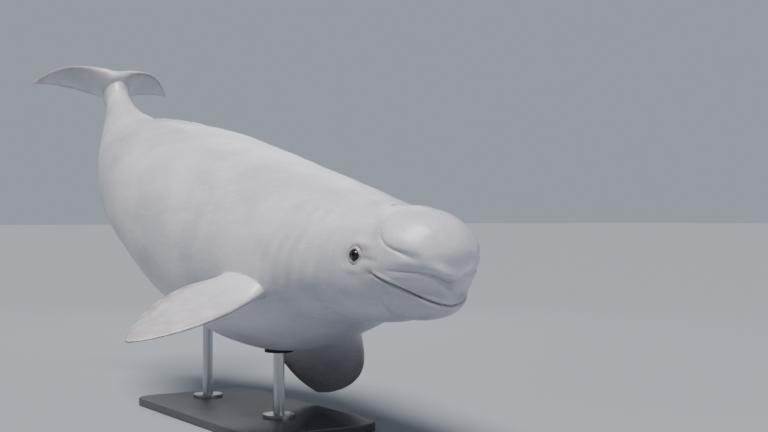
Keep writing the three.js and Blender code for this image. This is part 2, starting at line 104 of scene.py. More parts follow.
# centre and half-lengths of the head's rounded masses
MELON = ((204, 0, 67), (205, 184, 158))
BEAK = ((192, 0, -81), (162, 115, 68))
JAW = ((229, 0, -98), (197, 113, 59))
BEAK_BLEND = 24
MELON_BLEND = 28
FAN = (250, 10)
HEAD_END = 600

# The mouth line round a point on the head's axis: swing from straight ahead, height
MOUTH_BACK = 270
MOUTH = np.array([
    (0, -103), (10, -96), (19, -85), (32, -65), (47, -44), (62, -27), (73, -17), (87, -6),
])
MOUTH_CORNER = (264, -5)
# Where the melon's fold lies over the beak: swing, height
BEAK_CREASE = np.array([(0, -30), (8, -20), (18, 2), (29, 15), (42, 17), (56, 15), (70, 12)])
# The line under the melon: back, up
MELON_CREASE = (
    (229, 134), (198, 114), (169, 101), (141, 92), (116, 85),
    (93, 77), (70, 68), (50, 58), (34, 47),
)
MELON_HOOK = ((247, 168), (232, 146), (200, 121), (178, 99))
EYE = {"back": 334, "up": 53, "radius": 28, "proud": 9}
BLOWHOLE = {"back": 402, "side": 12, "half": 36, "bow": 16}
BELLY_SLIT = (2480, 2640)
RIDGE = {"from": 2080, "to": 2920, "notches": 13}

# The flukes are one stiff blade turned about the spine at its hub
FLUKE = {
    "span": 400, "lead": 3590, "tip": 4100, "notch": 3825, "lobe": 45, "thick": 46, "edge": 5,
    "late_sweep": 0.55, "tip_chord": 12, "hollow": 26, "hollow_width": 0.06, "ripple": 1.6,
}
FLUKE_RISE = {"slope": 1.03, "droop": 131, "lift": -90, "round": 60}
FLUKE_HUB = {"back": 3800, "turn": (-27.8, 7.2, 3.9), "inside": 3630}
FLIPPER = {
    "length": 650, "width": 400, "root": 0.6, "thick": 50, "edge": 6, "sweep": 5, "curl": 25,
    "ahead": 0.45, "narrow": 0.24, "narrow_end": (0.08, 0.42),
}
FLIPPERS = (
    {"hand": 1, "at": (1110, 128, -235), "spread": 31, "droop": 51, "pitch": 14, "blunt": 3.6},
    {"hand": -1, "at": (970, 253, -48), "spread": 97, "droop": 23, "pitch": 10, "blunt": 2.6},
)

# A blade's root, in metres: how far it swells and how fast that fades, then the reach and the
# passes of the smoothing round the joint
FLUKE_JOINT = {"swell": 0.034, "fade": 0.075, "reach": 0.11, "passes": 70}
FLIPPER_JOINT = {"swell": 0.020, "fade": 0.040, "reach": 0.055, "passes": 24}
EDGE_MARKS_START = (0.03, 0.16)
NEAR_BODY = 0.2

# The camera, from the front of the melon, in millimetres
CAMERA = (3458.2, -2473.6, 212.3)
CAMERA_AZIMUTH = 57.82
FOCAL_PIXELS = 1236.0
FRAME_WIDTH = 768


def a_length(name, description, metres):
    return FloatProperty(name=name, description=description, default=metres, unit="LENGTH")


def a_colour(name, description, value):
    return FloatVectorProperty(
        name=name, description=description, default=value, subtype="COLOR")


class WhaleShape(bpy.types.PropertyGroup):
    """Sizes of the skin's relief."""

    columns: IntProperty(
        name="Columns", description="Faces round the body", default=248, min=48, max=400)
    groove: a_length("Mouth groove", "Depth of the mouth line", 0.0085)
    lip: a_length("Lip roll", "Height of the lips", 0.004)
    crease: a_length("Crease", "Depth of the head's creases", 0.0055)
    lid: a_length("Eyelid", "Height of the rolls round the eyes", 0.006)
    fold: a_length("Neck folds", "Height of the soft neck folds", 0.0018)
    ridge: a_length("Back ridge", "Height of the ridge on the back", 0.017)


class WhaleColours(bpy.types.PropertyGroup):
    """Colours of the skin, eyes and stand, and of the shade painted into the skin's creases."""

    skin: a_colour("Skin", "Main skin colour", (0.625, 0.605, 0.66))
    shade: a_colour("Mottling", "Darker patches of the skin", (0.40, 0.405, 0.475))
    # Painted shade: this dark colour is laid into the creases, slits and hollows where shade
    # falls
    crease: a_colour("Creases", "Colour deep in the creases", (0.07, 0.075, 0.10))
    rim: a_colour("Blade edges", "Edges of flippers and flukes", (0.27, 0.215, 0.20))
    blush: a_colour("Blush", "Warm skin by the eyes and mouth", (0.52, 0.40, 0.43))
    eye: a_colour("Eye", "The eye's iris", (0.014, 0.015, 0.021))
    paint: a_colour("Base paint", "Paint of the stand's base", (0.055, 0.060, 0.068))
    steel: a_colour("Steel", "Steel of the rods", (0.55, 0.56, 0.58))


class StageLook(bpy.types.PropertyGroup):
    """The floor and lights."""

    floor: a_colour("Floor", "Colour of the floor", (0.25, 0.275, 0.31))
    sun: FloatProperty(
        name="Overhead light", description="Strength of the main light", default=5.4, min=0)
    fill: FloatProperty(
        name="Fill light", description="Power of the fill lights", default=30, min=0,
        unit="POWER")
    sky: FloatProperty(
        name="Surroundings", description="Brightness all round", default=0.17, min=0)


# Curves through tables
def curve(table, column, at):
    """A smooth curve through one column of a table, along its first column."""
    keys, values = table[:, 0], table[:, column].astype(float)
    at = np.clip(at, keys[0], keys[-1])
    i = np.clip(np.searchsorted(keys, at, side="right") - 1, 0, len(keys) - 2)
    number = np.arange(len(keys))
    low, high = np.maximum(number - 1, 0), np.minimum(number + 1, len(keys) - 1)
    slope = (values[high] - values[low]) / (keys[high] - keys[low])
    span = keys[i + 1] - keys[i]
    t = (at - keys[i]) / span
    ease = t * t * (3 - 2 * t)
    bend = t * (1 - t) * span * ((1 - t) * slope[i] - t * slope[i + 1])
    return values[i] + (values[i + 1] - values[i]) * ease + bend


def step(low, high, value):
    """0 below `low`, 1 above `high`, and a smooth rise between."""
    t = np.clip((value - low) / (high - low), 0, 1)
    return t * t * (3 - 2 * t)


def bell(distance, width):
    """1 at no distance and almost 0 past twice the width."""
    return np.exp(-((distance / width) ** 2))


# The straight body as a distance field, negative inside
def mass_field(mass, point):
    """Roughly the distance to an ellipsoid."""
    offset = point - np.array(mass[0], float)
    size = np.array(mass[1], float)
    near = np.linalg.norm(offset / size, axis=-1)
    steep = np.linalg.norm(offset / size**2, axis=-1)
    return near * (near - 1) / np.maximum(steep, 1e-9)


def blend(a, b, width):
    """Two fields as one, with a soft fillet between them."""
    overlap = np.maximum(0, width - np.abs(a - b)) / width
    return np.minimum(a, b) - overlap**2 * width * 0.25


def skin_field(point):
    back, side, up = point[..., 0], point[..., 1], point[..., 2]
    first = SECTIONS[0, 0] * LENGTH
    at = np.maximum(back, first) / LENGTH
    half = curve(SECTIONS, 3, at)
    reach = np.where(up > 0, curve(SECTIONS, 1, at), curve(SECTIONS, 2, at))
    across = np.abs(side / half) ** SQUARENESS + np.abs(up / reach) ** SQUARENESS
    ahead = np.maximum(0, first - back) / TRUNK_NOSE
    trunk = (np.hypot(across ** (1 / SQUARENESS), ahead) - 1) * np.minimum(half, reach)
    snout = blend(mass_field(BEAK, point), mass_field(JAW, point), BEAK_BLEND)
    front = blend(mass_field(MELON, point), snout, MELON_BLEND)
    return blend(trunk, front, TRUNK_BLEND)


RAY = {"longest": 640.0, "step": 16, "halvings": 18}


def skin_from(start, direction):
    """The points of the skin that rays from inside the body reach."""
    outside = np.full(len(start), RAY["longest"])
    inside = np.zeros(len(start))
    found = np.zeros(len(start), bool)
    for reach in np.arange(RAY["longest"] - RAY["step"], 0, -RAY["step"]):
        hit = ~found & (skin_field(start + direction * reach) <= 0)
        inside[hit] = reach
        found |= hit
        outside[~found] = reach
    for _ in range(RAY["halvings"]):
        middle = (inside + outside) / 2
        out = skin_field(start + direction * middle[:, None]) > 0
        outside = np.where(out, middle, outside)
        inside = np.where(out, inside, middle)
    return start + direction * ((inside + outside) / 2)[:, None]


def skin_normal(point):
    slope = np.empty_like(point)
    for axis in range(3):
        nudge = np.zeros(3)
        nudge[axis] = 1.0
        slope[:, axis] = skin_field(point + nudge) - skin_field(point - nudge)
    return slope / np.maximum(np.linalg.norm(slope, axis=1, keepdims=True), 1e-9)


# The pose
def headings(back):
    """Directions along the bent spine: aft, to the left and out of the back."""
    at = np.maximum(0, back) / LENGTH
    return headings_of(*(curve(POSE, column, at)[..., None] for column in (1, 2, 3)))


def headings_of(*degrees):
    pitch, yaw, roll = np.radians(degrees)
    level = np.cos(pitch)
    aft = np.concatenate([-level * np.cos(yaw), level * np.sin(yaw), np.sin(pitch)], -1)
    left = np.cross((0.0, 0.0, -1.0), aft)
    left /= np.linalg.norm(left, axis=-1, keepdims=True)
    top = np.cross(left, aft)
    rolled_left = left * np.cos(roll) + np.cross(aft, left) * np.sin(roll)
    rolled_top = top * np.cos(roll) + np.cross(aft, top) * np.sin(roll)
    return aft, rolled_left, rolled_top


SPINE_STEP = 10.0


def make_spine():
    middles = np.arange(0, LENGTH * 1.1, SPINE_STEP) + SPINE_STEP / 2
    aft = headings(middles)[0]
    return np.concatenate([np.zeros((1, 3)), np.cumsum(aft * SPINE_STEP, 0)])


SPINE = make_spine()


def bent(point):
    """Points of the straight whale, where the pose puts them, in millimetres."""
    back = point[:, 0]
    at = np.maximum(0, back) / SPINE_STEP
    i = np.minimum(len(SPINE) - 2, at.astype(int))
    along = (at - i)[:, None]
    centre = SPINE[i] * (1 - along) + SPINE[i + 1] * along
    aft, left, top = headings(back)
    centre = centre + aft * np.minimum(0, back)[:, None]
    return centre + left * point[:, 1:2] + top * point[:, 2:3]


def eye_frame(hand):
    """The eye's place on the skin and its directions, on the straight whale."""
    start = np.array([[EYE["back"], 0.0, EYE["up"]]])
    skin = skin_from(start, np.array([[0.0, hand, 0.0]]))
    normal = skin_normal(skin)[0]
    along = np.array([1.0, 0, 0]) - normal * normal[0]
    along /= np.linalg.norm(along)
    across = np.cross(normal, along)
    return skin[0], normal, along, across * np.sign(across[2])


def eye_centre(hand):
    skin, normal, _, _ = eye_frame(hand)
    return skin + normal * (EYE["proud"] - EYE["radius"])


def find_shift():
    """From the front of the melon to the origin, by the place of the solid eyes."""
    gaps = []
    for hand, node in ((1, "eye_left"), (-1, "eye_right")):
        low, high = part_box(node)
        gaps.append(np.array((low + high) / 2) * 1000 - bent(eye_centre(hand)[None])[0])
    return np.mean(gaps, 0)


SHIFT = find_shift()


def finished(point):
    """Points of the bent whale in the finished frame, in metres."""
    return (point + SHIFT) / 1000


def placed(point):
    """Points of the straight whale in the finished frame, in metres."""
    return finished(bent(point))


# The skin's relief: how far each point stands out, and its marks. Places and widths are in
# millimetres on the straight whale, heights in metres, swings in degrees, marks from 0 to 1.
# Painted shade: the crease marks darken the mouth line, folds, slits and hollows where shade
# falls, each by its strength below
MOUTH_LINE = {"width": 4.5, "mark": 3.3, "painted_shade": 0.95, "end": (80, 91)}
LIPS = {"gap": 11, "width": 7.5, "end": (66, 86)}
DIMPLE = {"width": 11, "depth": 0.004, "painted_shade": 0.25}
CORNER_DENT = {"back": 284, "up": -8, "width": 16, "depth": 0.002}
MOUTH_BLUSH = {"corner": 42, "corner_tint": 0.45, "line": 16, "line_tint": 0.25}
BEAK_FOLD = {
    "end": (40, 68), "deep_end": (8, 34), "width": 4.5, "widening": 10,
    "depth_share": 0.8, "deeper": 0.013, "mark": 3.0, "painted_shade": 0.26,
}
FOLD_ROLL = {"above": 32, "width": 22, "height": 0.003, "higher": 0.012}
BEAK_ROLL = {"below": 22, "width": 14, "height": 0.003}
MELON_LINE = {
    "start": (-0.05, 0.10), "end": (0.55, 1.0), "soft": (0.35, 0.9), "softening": 2.2,
    "width": 4.6, "faint": 0.25, "depth_share": 0.9, "mark": 2.8, "painted_shade": 0.46,
}
HOOK_LINE = {"start": (0.0, 0.5), "end": (0.8, 1), "width": 4.2, "depth": 0.003}
MELON_ROLL = {"above": 30, "width": 24, "height": 0.005}
MELON_EDGE = ((250, 165), (262, 205), (276, 240), (292, 262))
EDGE_ROLL = {"width": 34, "height": 0.010}
HEAD_RELIEF_END = 420


def path_distance(point, path):
    """Distance from points to a path, both in the plane of back and up."""
    nearest = np.full(len(point), 1e9)
    share = np.zeros(len(point))
    for n, (a, b) in enumerate(zip(path[:-1], path[1:])):
        a, b = np.array(a, float), np.array(b, float)
        t = np.clip(((point - a) @ (b - a)) / ((b - a) @ (b - a)), 0, 1)
        gap = np.linalg.norm(point - a - t[:, None] * (b - a), axis=1)
        closer = gap < nearest
        share = np.where(closer, (n + t) / (len(path) - 1), share)
        nearest = np.where(closer, gap, nearest)
    return nearest, share


def mouth_relief(shape, back, side, up):
    swing = np.degrees(np.arctan2(np.abs(side), MOUTH_BACK - back))
    gap = up - curve(MOUTH, 1, swing)
    line = 1 - step(*MOUTH_LINE["end"], swing)
    groove = bell(gap, MOUTH_LINE["width"]) * line
    lips = bell(gap - LIPS["gap"], LIPS["width"]) + bell(gap + LIPS["gap"], LIPS["width"])
    lips = lips * (1 - step(*LIPS["end"], swing))
    corner = np.hypot(back - MOUTH_CORNER[0], up - MOUTH_CORNER[1])
    dimple = bell(corner, DIMPLE["width"])
    raised = lips * shape.lip - groove * shape.groove - dimple * DIMPLE["depth"]
    dent = np.hypot(back - CORNER_DENT["back"], up - CORNER_DENT["up"])
    raised -= bell(dent, CORNER_DENT["width"]) * CORNER_DENT["depth"]
    # Painted shade along the mouth line and in the dimple at its corner
    painted_shade = bell(gap, MOUTH_LINE["mark"]) * line * MOUTH_LINE["painted_shade"]
    crease = np.maximum(painted_shade, dimple * DIMPLE["painted_shade"])
    blush = bell(corner, MOUTH_BLUSH["corner"]) * MOUTH_BLUSH["corner_tint"]
    blush += bell(gap, MOUTH_BLUSH["line"]) * MOUTH_BLUSH["line_tint"] * line
    fold, fold_crease_shade = beak_fold(shape, up - curve(BEAK_CREASE, 1, swing), swing, back)
    return raised + fold, np.maximum(crease, fold_crease_shade), blush


def beak_fold(shape, gap, swing, back):
    """The melon's fold over the beak, deepest in front, between two soft rolls, and the shade
    painted along it.
    """
    front = (1 - step(*BEAK_FOLD["end"], swing)) * (back < MOUTH_BACK)
    deep = 1 - step(*BEAK_FOLD["deep_end"], swing)
    width = BEAK_FOLD["width"] + BEAK_FOLD["widening"] * deep
    depth = shape.crease * BEAK_FOLD["depth_share"] + BEAK_FOLD["deeper"] * deep
    height = FOLD_ROLL["height"] + FOLD_ROLL["higher"] * deep
    raised = bell(gap - FOLD_ROLL["above"], FOLD_ROLL["width"]) * front * height
    raised -= bell(gap, width) * front * depth
    raised += bell(gap + BEAK_ROLL["below"], BEAK_ROLL["width"]) * front * BEAK_ROLL["height"]
    # The second value is painted shade along the bottom of the fold
    return raised, bell(gap, BEAK_FOLD["mark"]) * front * BEAK_FOLD["painted_shade"]


def melon_relief(shape, back, up):
    flat = np.stack([back, up], 1)
    gap, share = path_distance(flat, MELON_CREASE)
    strength = step(*MELON_LINE["start"], share) * (1 - step(*MELON_LINE["end"], share))
    soft = 1 + MELON_LINE["softening"] * step(*MELON_LINE["soft"], share)
    depth = (strength + MELON_LINE["faint"]) * shape.crease * MELON_LINE["depth_share"]
    raised = -bell(gap, MELON_LINE["width"] * soft) * depth
    hook, along = path_distance(flat, MELON_HOOK)
    hook_part = step(*HOOK_LINE["start"], along) * (1 - step(*HOOK_LINE["end"], along))
    raised -= bell(hook, HOOK_LINE["width"]) * hook_part * HOOK_LINE["depth"]
    # Painted shade along the line under the melon
    crease = bell(gap, MELON_LINE["mark"]) * strength * MELON_LINE["painted_shade"]
    above, _ = path_distance(flat, [(b, u + MELON_ROLL["above"]) for b, u in MELON_CREASE])
    raised += bell(above, MELON_ROLL["width"]) * MELON_ROLL["height"]
    edge, _ = path_distance(flat, MELON_EDGE)
    raised += bell(edge, EDGE_ROLL["width"]) * EDGE_ROLL["height"]
    return raised, crease


# Round each eye: rings by radius and width, and oval patches by middle and half-size, both
# ahead-to-aft and up
EYE_REACH = 130
EYE_TALL = 1.12
LID_ROLL = (27, 5.0)
SOCKET = {"edge": (17, 23), "depth": 0.020}
LID_FOLD = {"upper": (39, 3.6), "lower": (38, 4.0), "lower_ahead": (-20, 10), "depth": 0.0035}
# Painted shade round the eye: a dark line at the lid's edge and a faint darker haze further out
LID_SHADE = {"line": (23.5, 4.2), "line_dark": 0.9, "haze": (34, 18), "haze_dark": 0.10}
EYE_WRINKLES = (
    # radius, width, turn, where it starts and is full, strength
    (50, 3.6, 0.7, (0.1, 0.8), 0.6),
    (62, 4.0, 0.3, (0.2, 0.9), 0.4),
)
FRONT_WRINKLE = {"ahead": 56, "up": 18, "slant": 0.25, "width": 4.5, "tall": 22, "strength": 0.9}
WRINKLE_DEPTH = 0.0022
# middle, half-size, height of the brow, the cheek's hollow and the roll under the eye
CHEEK = ((-55, -8), (60, 12), -0.004)
EYE_PATCHES = (((-22, 44), (46, 17), 0.008), CHEEK, ((4, -50), (46, 17), 0.004))
EYE_BLUSH = {"middle": (-22, 22), "size": (66, 40), "tint": 0.85}


def ring_bell(ring, radius, width):
    return bell(ring - radius, width)


def patch(x, y, middle, size):
    """1 in the middle of an oval patch and less towards its edge."""
    return bell(np.hypot((x - middle[0]) / size[0], (y - middle[1]) / size[1]), 1.0)


def eye_wrinkles(ring, turn, x, y):
    wrinkles = np.zeros(len(ring))
    for radius, width, lean, (start, full), strength in EYE_WRINKLES:
        part = step(start, full, np.cos(turn + lean))
        wrinkles += ring_bell(ring, radius, width) * part * strength
    high = y - FRONT_WRINKLE["up"]
    across = np.abs(x + FRONT_WRINKLE["ahead"]) + FRONT_WRINKLE["slant"] * np.abs(high)
    tall = bell(high, FRONT_WRINKLE["tall"]) * FRONT_WRINKLE["strength"]
    return wrinkles + bell(across, FRONT_WRINKLE["width"]) * tall


def eye_relief(shape, point):
    raised = np.zeros(len(point))
    crease = np.zeros(len(point))
    blush = np.zeros(len(point))
    for hand in (1, -1):
        skin, normal, along, across = eye_frame(hand)
        offset = point - skin
        x, y = offset @ along, offset @ across
        here = np.linalg.norm(offset, axis=1) < EYE_REACH
        turn = np.arctan2(y, x)
        upper = step(-0.2, 0.7, np.sin(turn))
        ring = np.hypot(x, y * EYE_TALL) + 1.6 * np.sin(2 * turn + 0.7) + 2.4 * upper
        socket = 1 - step(*SOCKET["edge"], ring)
        lower = (1 - upper) * step(*LID_FOLD["lower_ahead"], x)
        fold = ring_bell(ring, *LID_FOLD["upper"]) * upper
        fold += ring_bell(ring, *LID_FOLD["lower"]) * lower
        wrinkles = eye_wrinkles(ring, turn, x, y)
        lift = ring_bell(ring, *LID_ROLL) * (0.65 + 0.6 * upper) * shape.lid
        lift -= socket * SOCKET["depth"] + fold * LID_FOLD["depth"] + wrinkles * WRINKLE_DEPTH
        for middle, size, height in EYE_PATCHES:
            lift += patch(x, y, middle, size) * height
        cheek = patch(x, y, *CHEEK[:2])
        # Painted shade: darker in the socket, along the lid's edge and folds, most above the eye,
        # in the wrinkles and the cheek's hollow, with a faint haze round it
        mark = ring_bell(ring, *LID_SHADE["line"]) * LID_SHADE["line_dark"] + socket
        mark += fold * (0.26 + 0.34 * upper) + wrinkles * 0.26 + cheek * 0.12
        mark += ring_bell(ring, *LID_SHADE["haze"]) * LID_SHADE["haze_dark"]
        tint = patch(x, y, EYE_BLUSH["middle"], EYE_BLUSH["size"]) * EYE_BLUSH["tint"]
        raised += np.where(here, lift, 0)
        crease = np.maximum(crease, np.where(here, mark, 0))
        blush = np.maximum(blush, np.where(here, tint, 0))
    return raised, np.clip(crease, 0, 1), blush


BLOWHOLE_RIM = {"gap": 14, "width": 10, "reach": 1.1, "height": 0.003}
BLOWHOLE_SLIT = {"width": 4.5, "end": (0.8, 1.2), "depth": 0.012, "painted_shade": 0.9}
BELLY_LINE = {"half": 60, "end": (8, 26), "width": 4.5, "depth": 0.008, "painted_shade": 0.6}
NAVEL = {"back": 2190, "width": 12, "stretch": 0.7, "depth": 0.005, "painted_shade": 0.35}
RIDGE_WIDTH = 15
NOTCH_DEPTH = 0.26


def back_relief(shape, back, side, up):
    top, below = up > 0, up < 0
    across = (side - BLOWHOLE["side"]) / BLOWHOLE["half"]
    line = back - BLOWHOLE["back"] + BLOWHOLE["bow"] * across**2
    slit = bell(line, BLOWHOLE_SLIT["width"]) * top
    slit = slit * (1 - step(*BLOWHOLE_SLIT["end"], np.abs(across)))
    gap, width = BLOWHOLE_RIM["gap"], BLOWHOLE_RIM["width"]
    rim = (bell(line - gap, width) + bell(line + gap, width)) * top
    rim = rim * bell(across, BLOWHOLE_RIM["reach"])
    share = np.clip((back - RIDGE["from"]) / (RIDGE["to"] - RIDGE["from"]), 0, 1)
    wave = np.abs(np.sin(share * np.pi * RIDGE["notches"]))
    height = np.sin(np.pi * share) * (1 - NOTCH_DEPTH + NOTCH_DEPTH * np.sqrt(wave))
    ridge = height * bell(side, RIDGE_WIDTH) * top
    beyond = np.abs(back - np.mean(BELLY_SLIT)) - BELLY_LINE["half"]
    slot = bell(side, BELLY_LINE["width"]) * (1 - step(*BELLY_LINE["end"], beyond)) * below
    navel = np.hypot(side, (back - NAVEL["back"]) * NAVEL["stretch"])
    navel = bell(navel, NAVEL["width"]) * below
    raised = ridge * shape.ridge + rim * BLOWHOLE_RIM["height"]
    raised -= slit * BLOWHOLE_SLIT["depth"] + slot * BELLY_LINE["depth"] + navel * NAVEL["depth"]
    # Painted shade in the blowhole, the belly slit and the navel
    crease = slit * BLOWHOLE_SLIT["painted_shade"] + slot * BELLY_LINE["painted_shade"] + navel * NAVEL["painted_shade"]
    return raised, crease, ridge


NECK_FOLDS = {
    "start": (400, 500), "end": (760, 940), "side": (60, 190), "up": (170, 300), "apart": 71,
}
SWELL = {"start": (650, 1100), "end": (3300, 3600), "height": 0.0014}


def neck_relief(shape, back, side, up):
    """Soft folds behind the head, and a faint swell along the rest of the body."""
    window = step(*NECK_FOLDS["start"], back) * (1 - step(*NECK_FOLDS["end"], back))
    sides = step(*NECK_FOLDS["side"], np.abs(side)) * (1 - step(*NECK_FOLDS["up"], up))
    drift = back + 0.22 * up + 16 * np.sin(up / 70) + 9 * np.sin(up / 33 + back / 210)
    wave = np.sin(drift * 2 * np.pi / NECK_FOLDS["apart"])
    wave *= 0.6 + 0.4 * np.sin(drift / 97 + up / 140)
    broad = np.sin(back / 47 + up / 90) * np.sin(up / 61 - back / 133)
    broad += 0.8 * np.sin(back / 118 - up / 150 + 1.3) * np.sin(up / 97 + back / 260)
    far = step(*SWELL["start"], back) * (1 - step(*SWELL["end"], back))
    return wave * window * sides * shape.fold + broad * SWELL["height"] * far


TAIL_WORN = (3450, 3900)


def body_relief(shape, point):
    """How far the skin stands out, in metres, and its marks: painted shade in the creases, rim
    and blush.
    """
    back, side, up = point.T
    ahead = back < HEAD_RELIEF_END
    mouth, mouth_crease_shade, mouth_blush = mouth_relief(shape, back, side, up)
    melon, melon_crease_shade = melon_relief(shape, back, up)
    eyes, eye_crease_shade, eye_blush = eye_relief(shape, point)
    spine, spine_crease_shade, ridge = back_relief(shape, back, side, up)
    raised = np.where(ahead, mouth + melon, 0) + eyes + spine
    raised = raised + neck_relief(shape, back, side, up)
    head_crease_shade = np.where(ahead, np.maximum(mouth_crease_shade, melon_crease_shade), 0)
    crease = np.maximum.reduce([head_crease_shade, eye_crease_shade, spine_crease_shade])
    rim = ridge * 0.25 + step(*TAIL_WORN, back) * 0.18
    blush = np.maximum(np.where(ahead, mouth_blush, 0), eye_blush)
    return raised, np.clip(np.stack([crease, rim, blush], 1), 0, 1)


# Rings of the body's grid: close on the head, closest at the eyes, wider along the trunk
NOSE_RINGS = {"count": 70, "last_swing": 1.3}
RINGS = {"eye": 3.0, "eye_reach": 62, "head": 5.5, "head_end": 560, "growth": 0.045, "most": 24.0}
TAIL_RINGS = {"from": 3300, "closer": 8.0}


def body_rows():
    """Where each ring of the body starts, and how far its rays swing ahead."""
    swings = np.linspace(90, NOSE_RINGS["last_swing"], NOSE_RINGS["count"])
    rows = [(FAN[0], FAN[1], swing) for swing in swings]
    back = float(FAN[0])
    while back < STOCK_END:
        fade = max(0.0, 1 - (back - FAN[0]) / (HEAD_END - FAN[0]))
        rows.append((back, FAN[1] * fade, 0.0))
        if abs(back - EYE["back"]) < RINGS["eye_reach"]:
            back += RINGS["eye"]
        else:
            past = max(0.0, back - RINGS["head_end"])
            back += min(RINGS["most"], RINGS["head"] + past * RINGS["growth"])
        if back > TAIL_RINGS["from"]:
            back -= TAIL_RINGS["closer"]
    rows.append((STOCK_END, 0.0, 0.0))
    return np.array(rows)


# Blades
SECTION_FULLNESS = 1.3
TIP_THICK = {"fluke": 3, "flipper": 4}
LEAST_CHORD = 10
# A blade's worn edges: where the rear one and the front one begin on the chord, and the power
# that draws the tip's, each with its mark
FLUKE_WORN = ((0.80, 0.8), (0.10, 0.5), (4, 0.5))
FLIPPER_WORN = ((0.78, 0.70), (0.12, 0.50), (3, 0.40))
FLIPPER_TINT = {"from": (0.1, 0.4), "mark": 0.28}


def worn_edges(worn, chord, share):
    (rear, rear_mark), (front, front_mark), (power, tip_mark) = worn
    rim = step(rear, 1.0, chord) * rear_mark + (1 - step(0.0, front, chord)) * front_mark
    return rim + share**power * tip_mark


def blade_section(turn, lead, trail, thick, edge):
    """Points round a blade's section, rounded in front and thin behind."""
    chord = (1 - np.cos(turn)) / 2
    swell = SECTION_FULLNESS * np.sqrt(chord) * (1 - chord) * thick
    rim = edge * np.sqrt(chord * (1 - chord))
    face = np.sign(np.round(np.sin(turn), 6)) * (swell + rim)
    return lead + (trail - lead) * chord, face, chord


def fluke_points(turn, across):
    """Both flukes as one bent blade; `across` runs from the right tip, -1, to the left one, 1."""
    share = np.sin(np.abs(across) * np.pi / 2)
    hand = np.sign(across)
    swept = (1 - FLUKE["late_sweep"]) * share + FLUKE["late_sweep"] * share**3
    lead = FLUKE["lead"] + (FLUKE["tip"] - FLUKE["lead"]) * swept
    lead = np.maximum(FLUKE_HUB["inside"], lead)
    lobe = FLUKE["lobe"] * np.sin(np.pi * share**0.8)
    rear = FLUKE["tip"] + FLUKE["tip_chord"] - FLUKE["notch"]
    rear = FLUKE["notch"] + rear * share**1.5 + lobe
    rear = rear - FLUKE["hollow"] * bell(share, FLUKE["hollow_width"])
    trail = np.maximum(rear, lead + LEAST_CHORD)
    thick = FLUKE["thick"] * (1 - share) ** 0.75 + TIP_THICK["fluke"]
    at_tip = np.abs(across) > 0.999
    x, face, chord = blade_section(turn, lead, trail, thick, FLUKE["edge"])
    x = np.where(at_tip, (lead + trail) / 2, x)
    face = np.where(at_tip, 0, face)
    out = FLUKE["span"] * share
    rise = FLUKE_RISE["slope"] * np.hypot(out, FLUKE_RISE["round"])
    rise = rise - FLUKE_RISE["droop"] * share**2
    ripple = FLUKE["ripple"] * np.sin(out / 24 + x / 90) * step(0.5, 0.9, chord)
    rim = worn_edges(FLUKE_WORN, chord, share)
    hub = bent(np.array([[FLUKE_HUB["back"], 0.0, 0.0]]))
    aft, left, top = (way[None] for way in headings_of(*np.array(FLUKE_HUB["turn"])[:, None]))
    point = hub + aft * (x - FLUKE_HUB["back"])[:, None] + left * (hand * out)[:, None]
    return point + top * (face + rise + ripple + FLUKE_RISE["lift"])[:, None], rim


def flipper_ways(flipper):
    """Directions along a flipper, across it towards the rear, and out of its flat."""
    hand = flipper["hand"]
    droop, spread = np.radians(flipper["droop"]), np.radians(flipper["spread"])
    span = np.array([
        math.cos(droop) * math.cos(spread),
        hand * math.cos(droop) * math.sin(spread),
        -math.sin(droop),
    ])
    flat = np.array([0, 0, 1.0]) - span * span[2]
    flat /= np.linalg.norm(flat)
    chord_way = np.cross(flat, span) * hand
    chord_way *= np.sign(chord_way[0])
    angle = math.radians(flipper["pitch"]) * -hand
    turned = (
        way * math.cos(angle) + np.cross(span, way) * math.sin(angle) for way in (chord_way, flat)
    )
    return span, *turned


def flipper_points(flipper, turn, share):
    span, chord_way, flat = flipper_ways(flipper)
    share = np.sin(share * np.pi / 2)
    grow = np.sin(np.pi * np.minimum(1, share * 0.85))
    width = FLIPPER["width"] * (FLIPPER["root"] + (1 - FLIPPER["root"]) * grow)
    width = width * np.maximum(0.02, 1 - share ** flipper["blunt"]) ** 0.6
    lead = FLIPPER["sweep"] * share**2 - width * FLIPPER["ahead"]
    thick = FLIPPER["thick"] * (1 - share) ** 0.8 + TIP_THICK["flipper"]
    width = width * (1 - FLIPPER["narrow"] * (1 - step(*FLIPPER["narrow_end"], share)))
    x, face, chord = blade_section(turn, lead, lead + width, thick, FLIPPER["edge"])
    closed = (share < 1e-6) | (share > 0.9999)
    x = np.where(closed, lead + width / 2, x)
    face = np.where(closed, 0, face)
    out = FLIPPER["length"] * share
    face = face + FLIPPER["curl"] * share**2
    point = np.array(flipper["at"]) * (1, flipper["hand"], 1) + span * out[:, None]
    point = point + chord_way * x[:, None] + flat * face[:, None]
    tint = FLIPPER_TINT["mark"] * step(*FLIPPER_TINT["from"], share)
    return point, worn_edges(FLIPPER_WORN, chord, share) + tint


# Making meshes
MERGE_GAP = 0.00002
SIDE_CROWDING = 0.16
FLUKE_GRID = (56, 110)
FLIPPER_GRID = (48, 64)


def clear_selection():
    if bpy.context.object and bpy.context.object.mode != "OBJECT":
        bpy.ops.object.mode_set(mode="OBJECT")
    bpy.ops.object.select_all(action="DESELECT")


def activate(piece):
    clear_selection()
    piece.select_set(True)
    bpy.context.view_layer.objects.active = piece


def read(data, name, width):
    flat = np.empty(len(data) * width, np.float32)
    data.foreach_get(name, flat)
    return flat.reshape(-1, width)


def write(data, name, values):
    data.foreach_set(name, values.astype(np.float32).ravel())


def points_of(piece):
    return read(piece.data.vertices, "co", 3).astype(float)


def marks_of(piece):
    return read(piece.data.color_attributes["marks"].data, "color", 4)


def set_marks(piece, marks):
    layers = piece.data.color_attributes
    layer = layers.get("marks") or layers.new("marks", "FLOAT_COLOR", "POINT")
    write(layer.data, "color", marks)


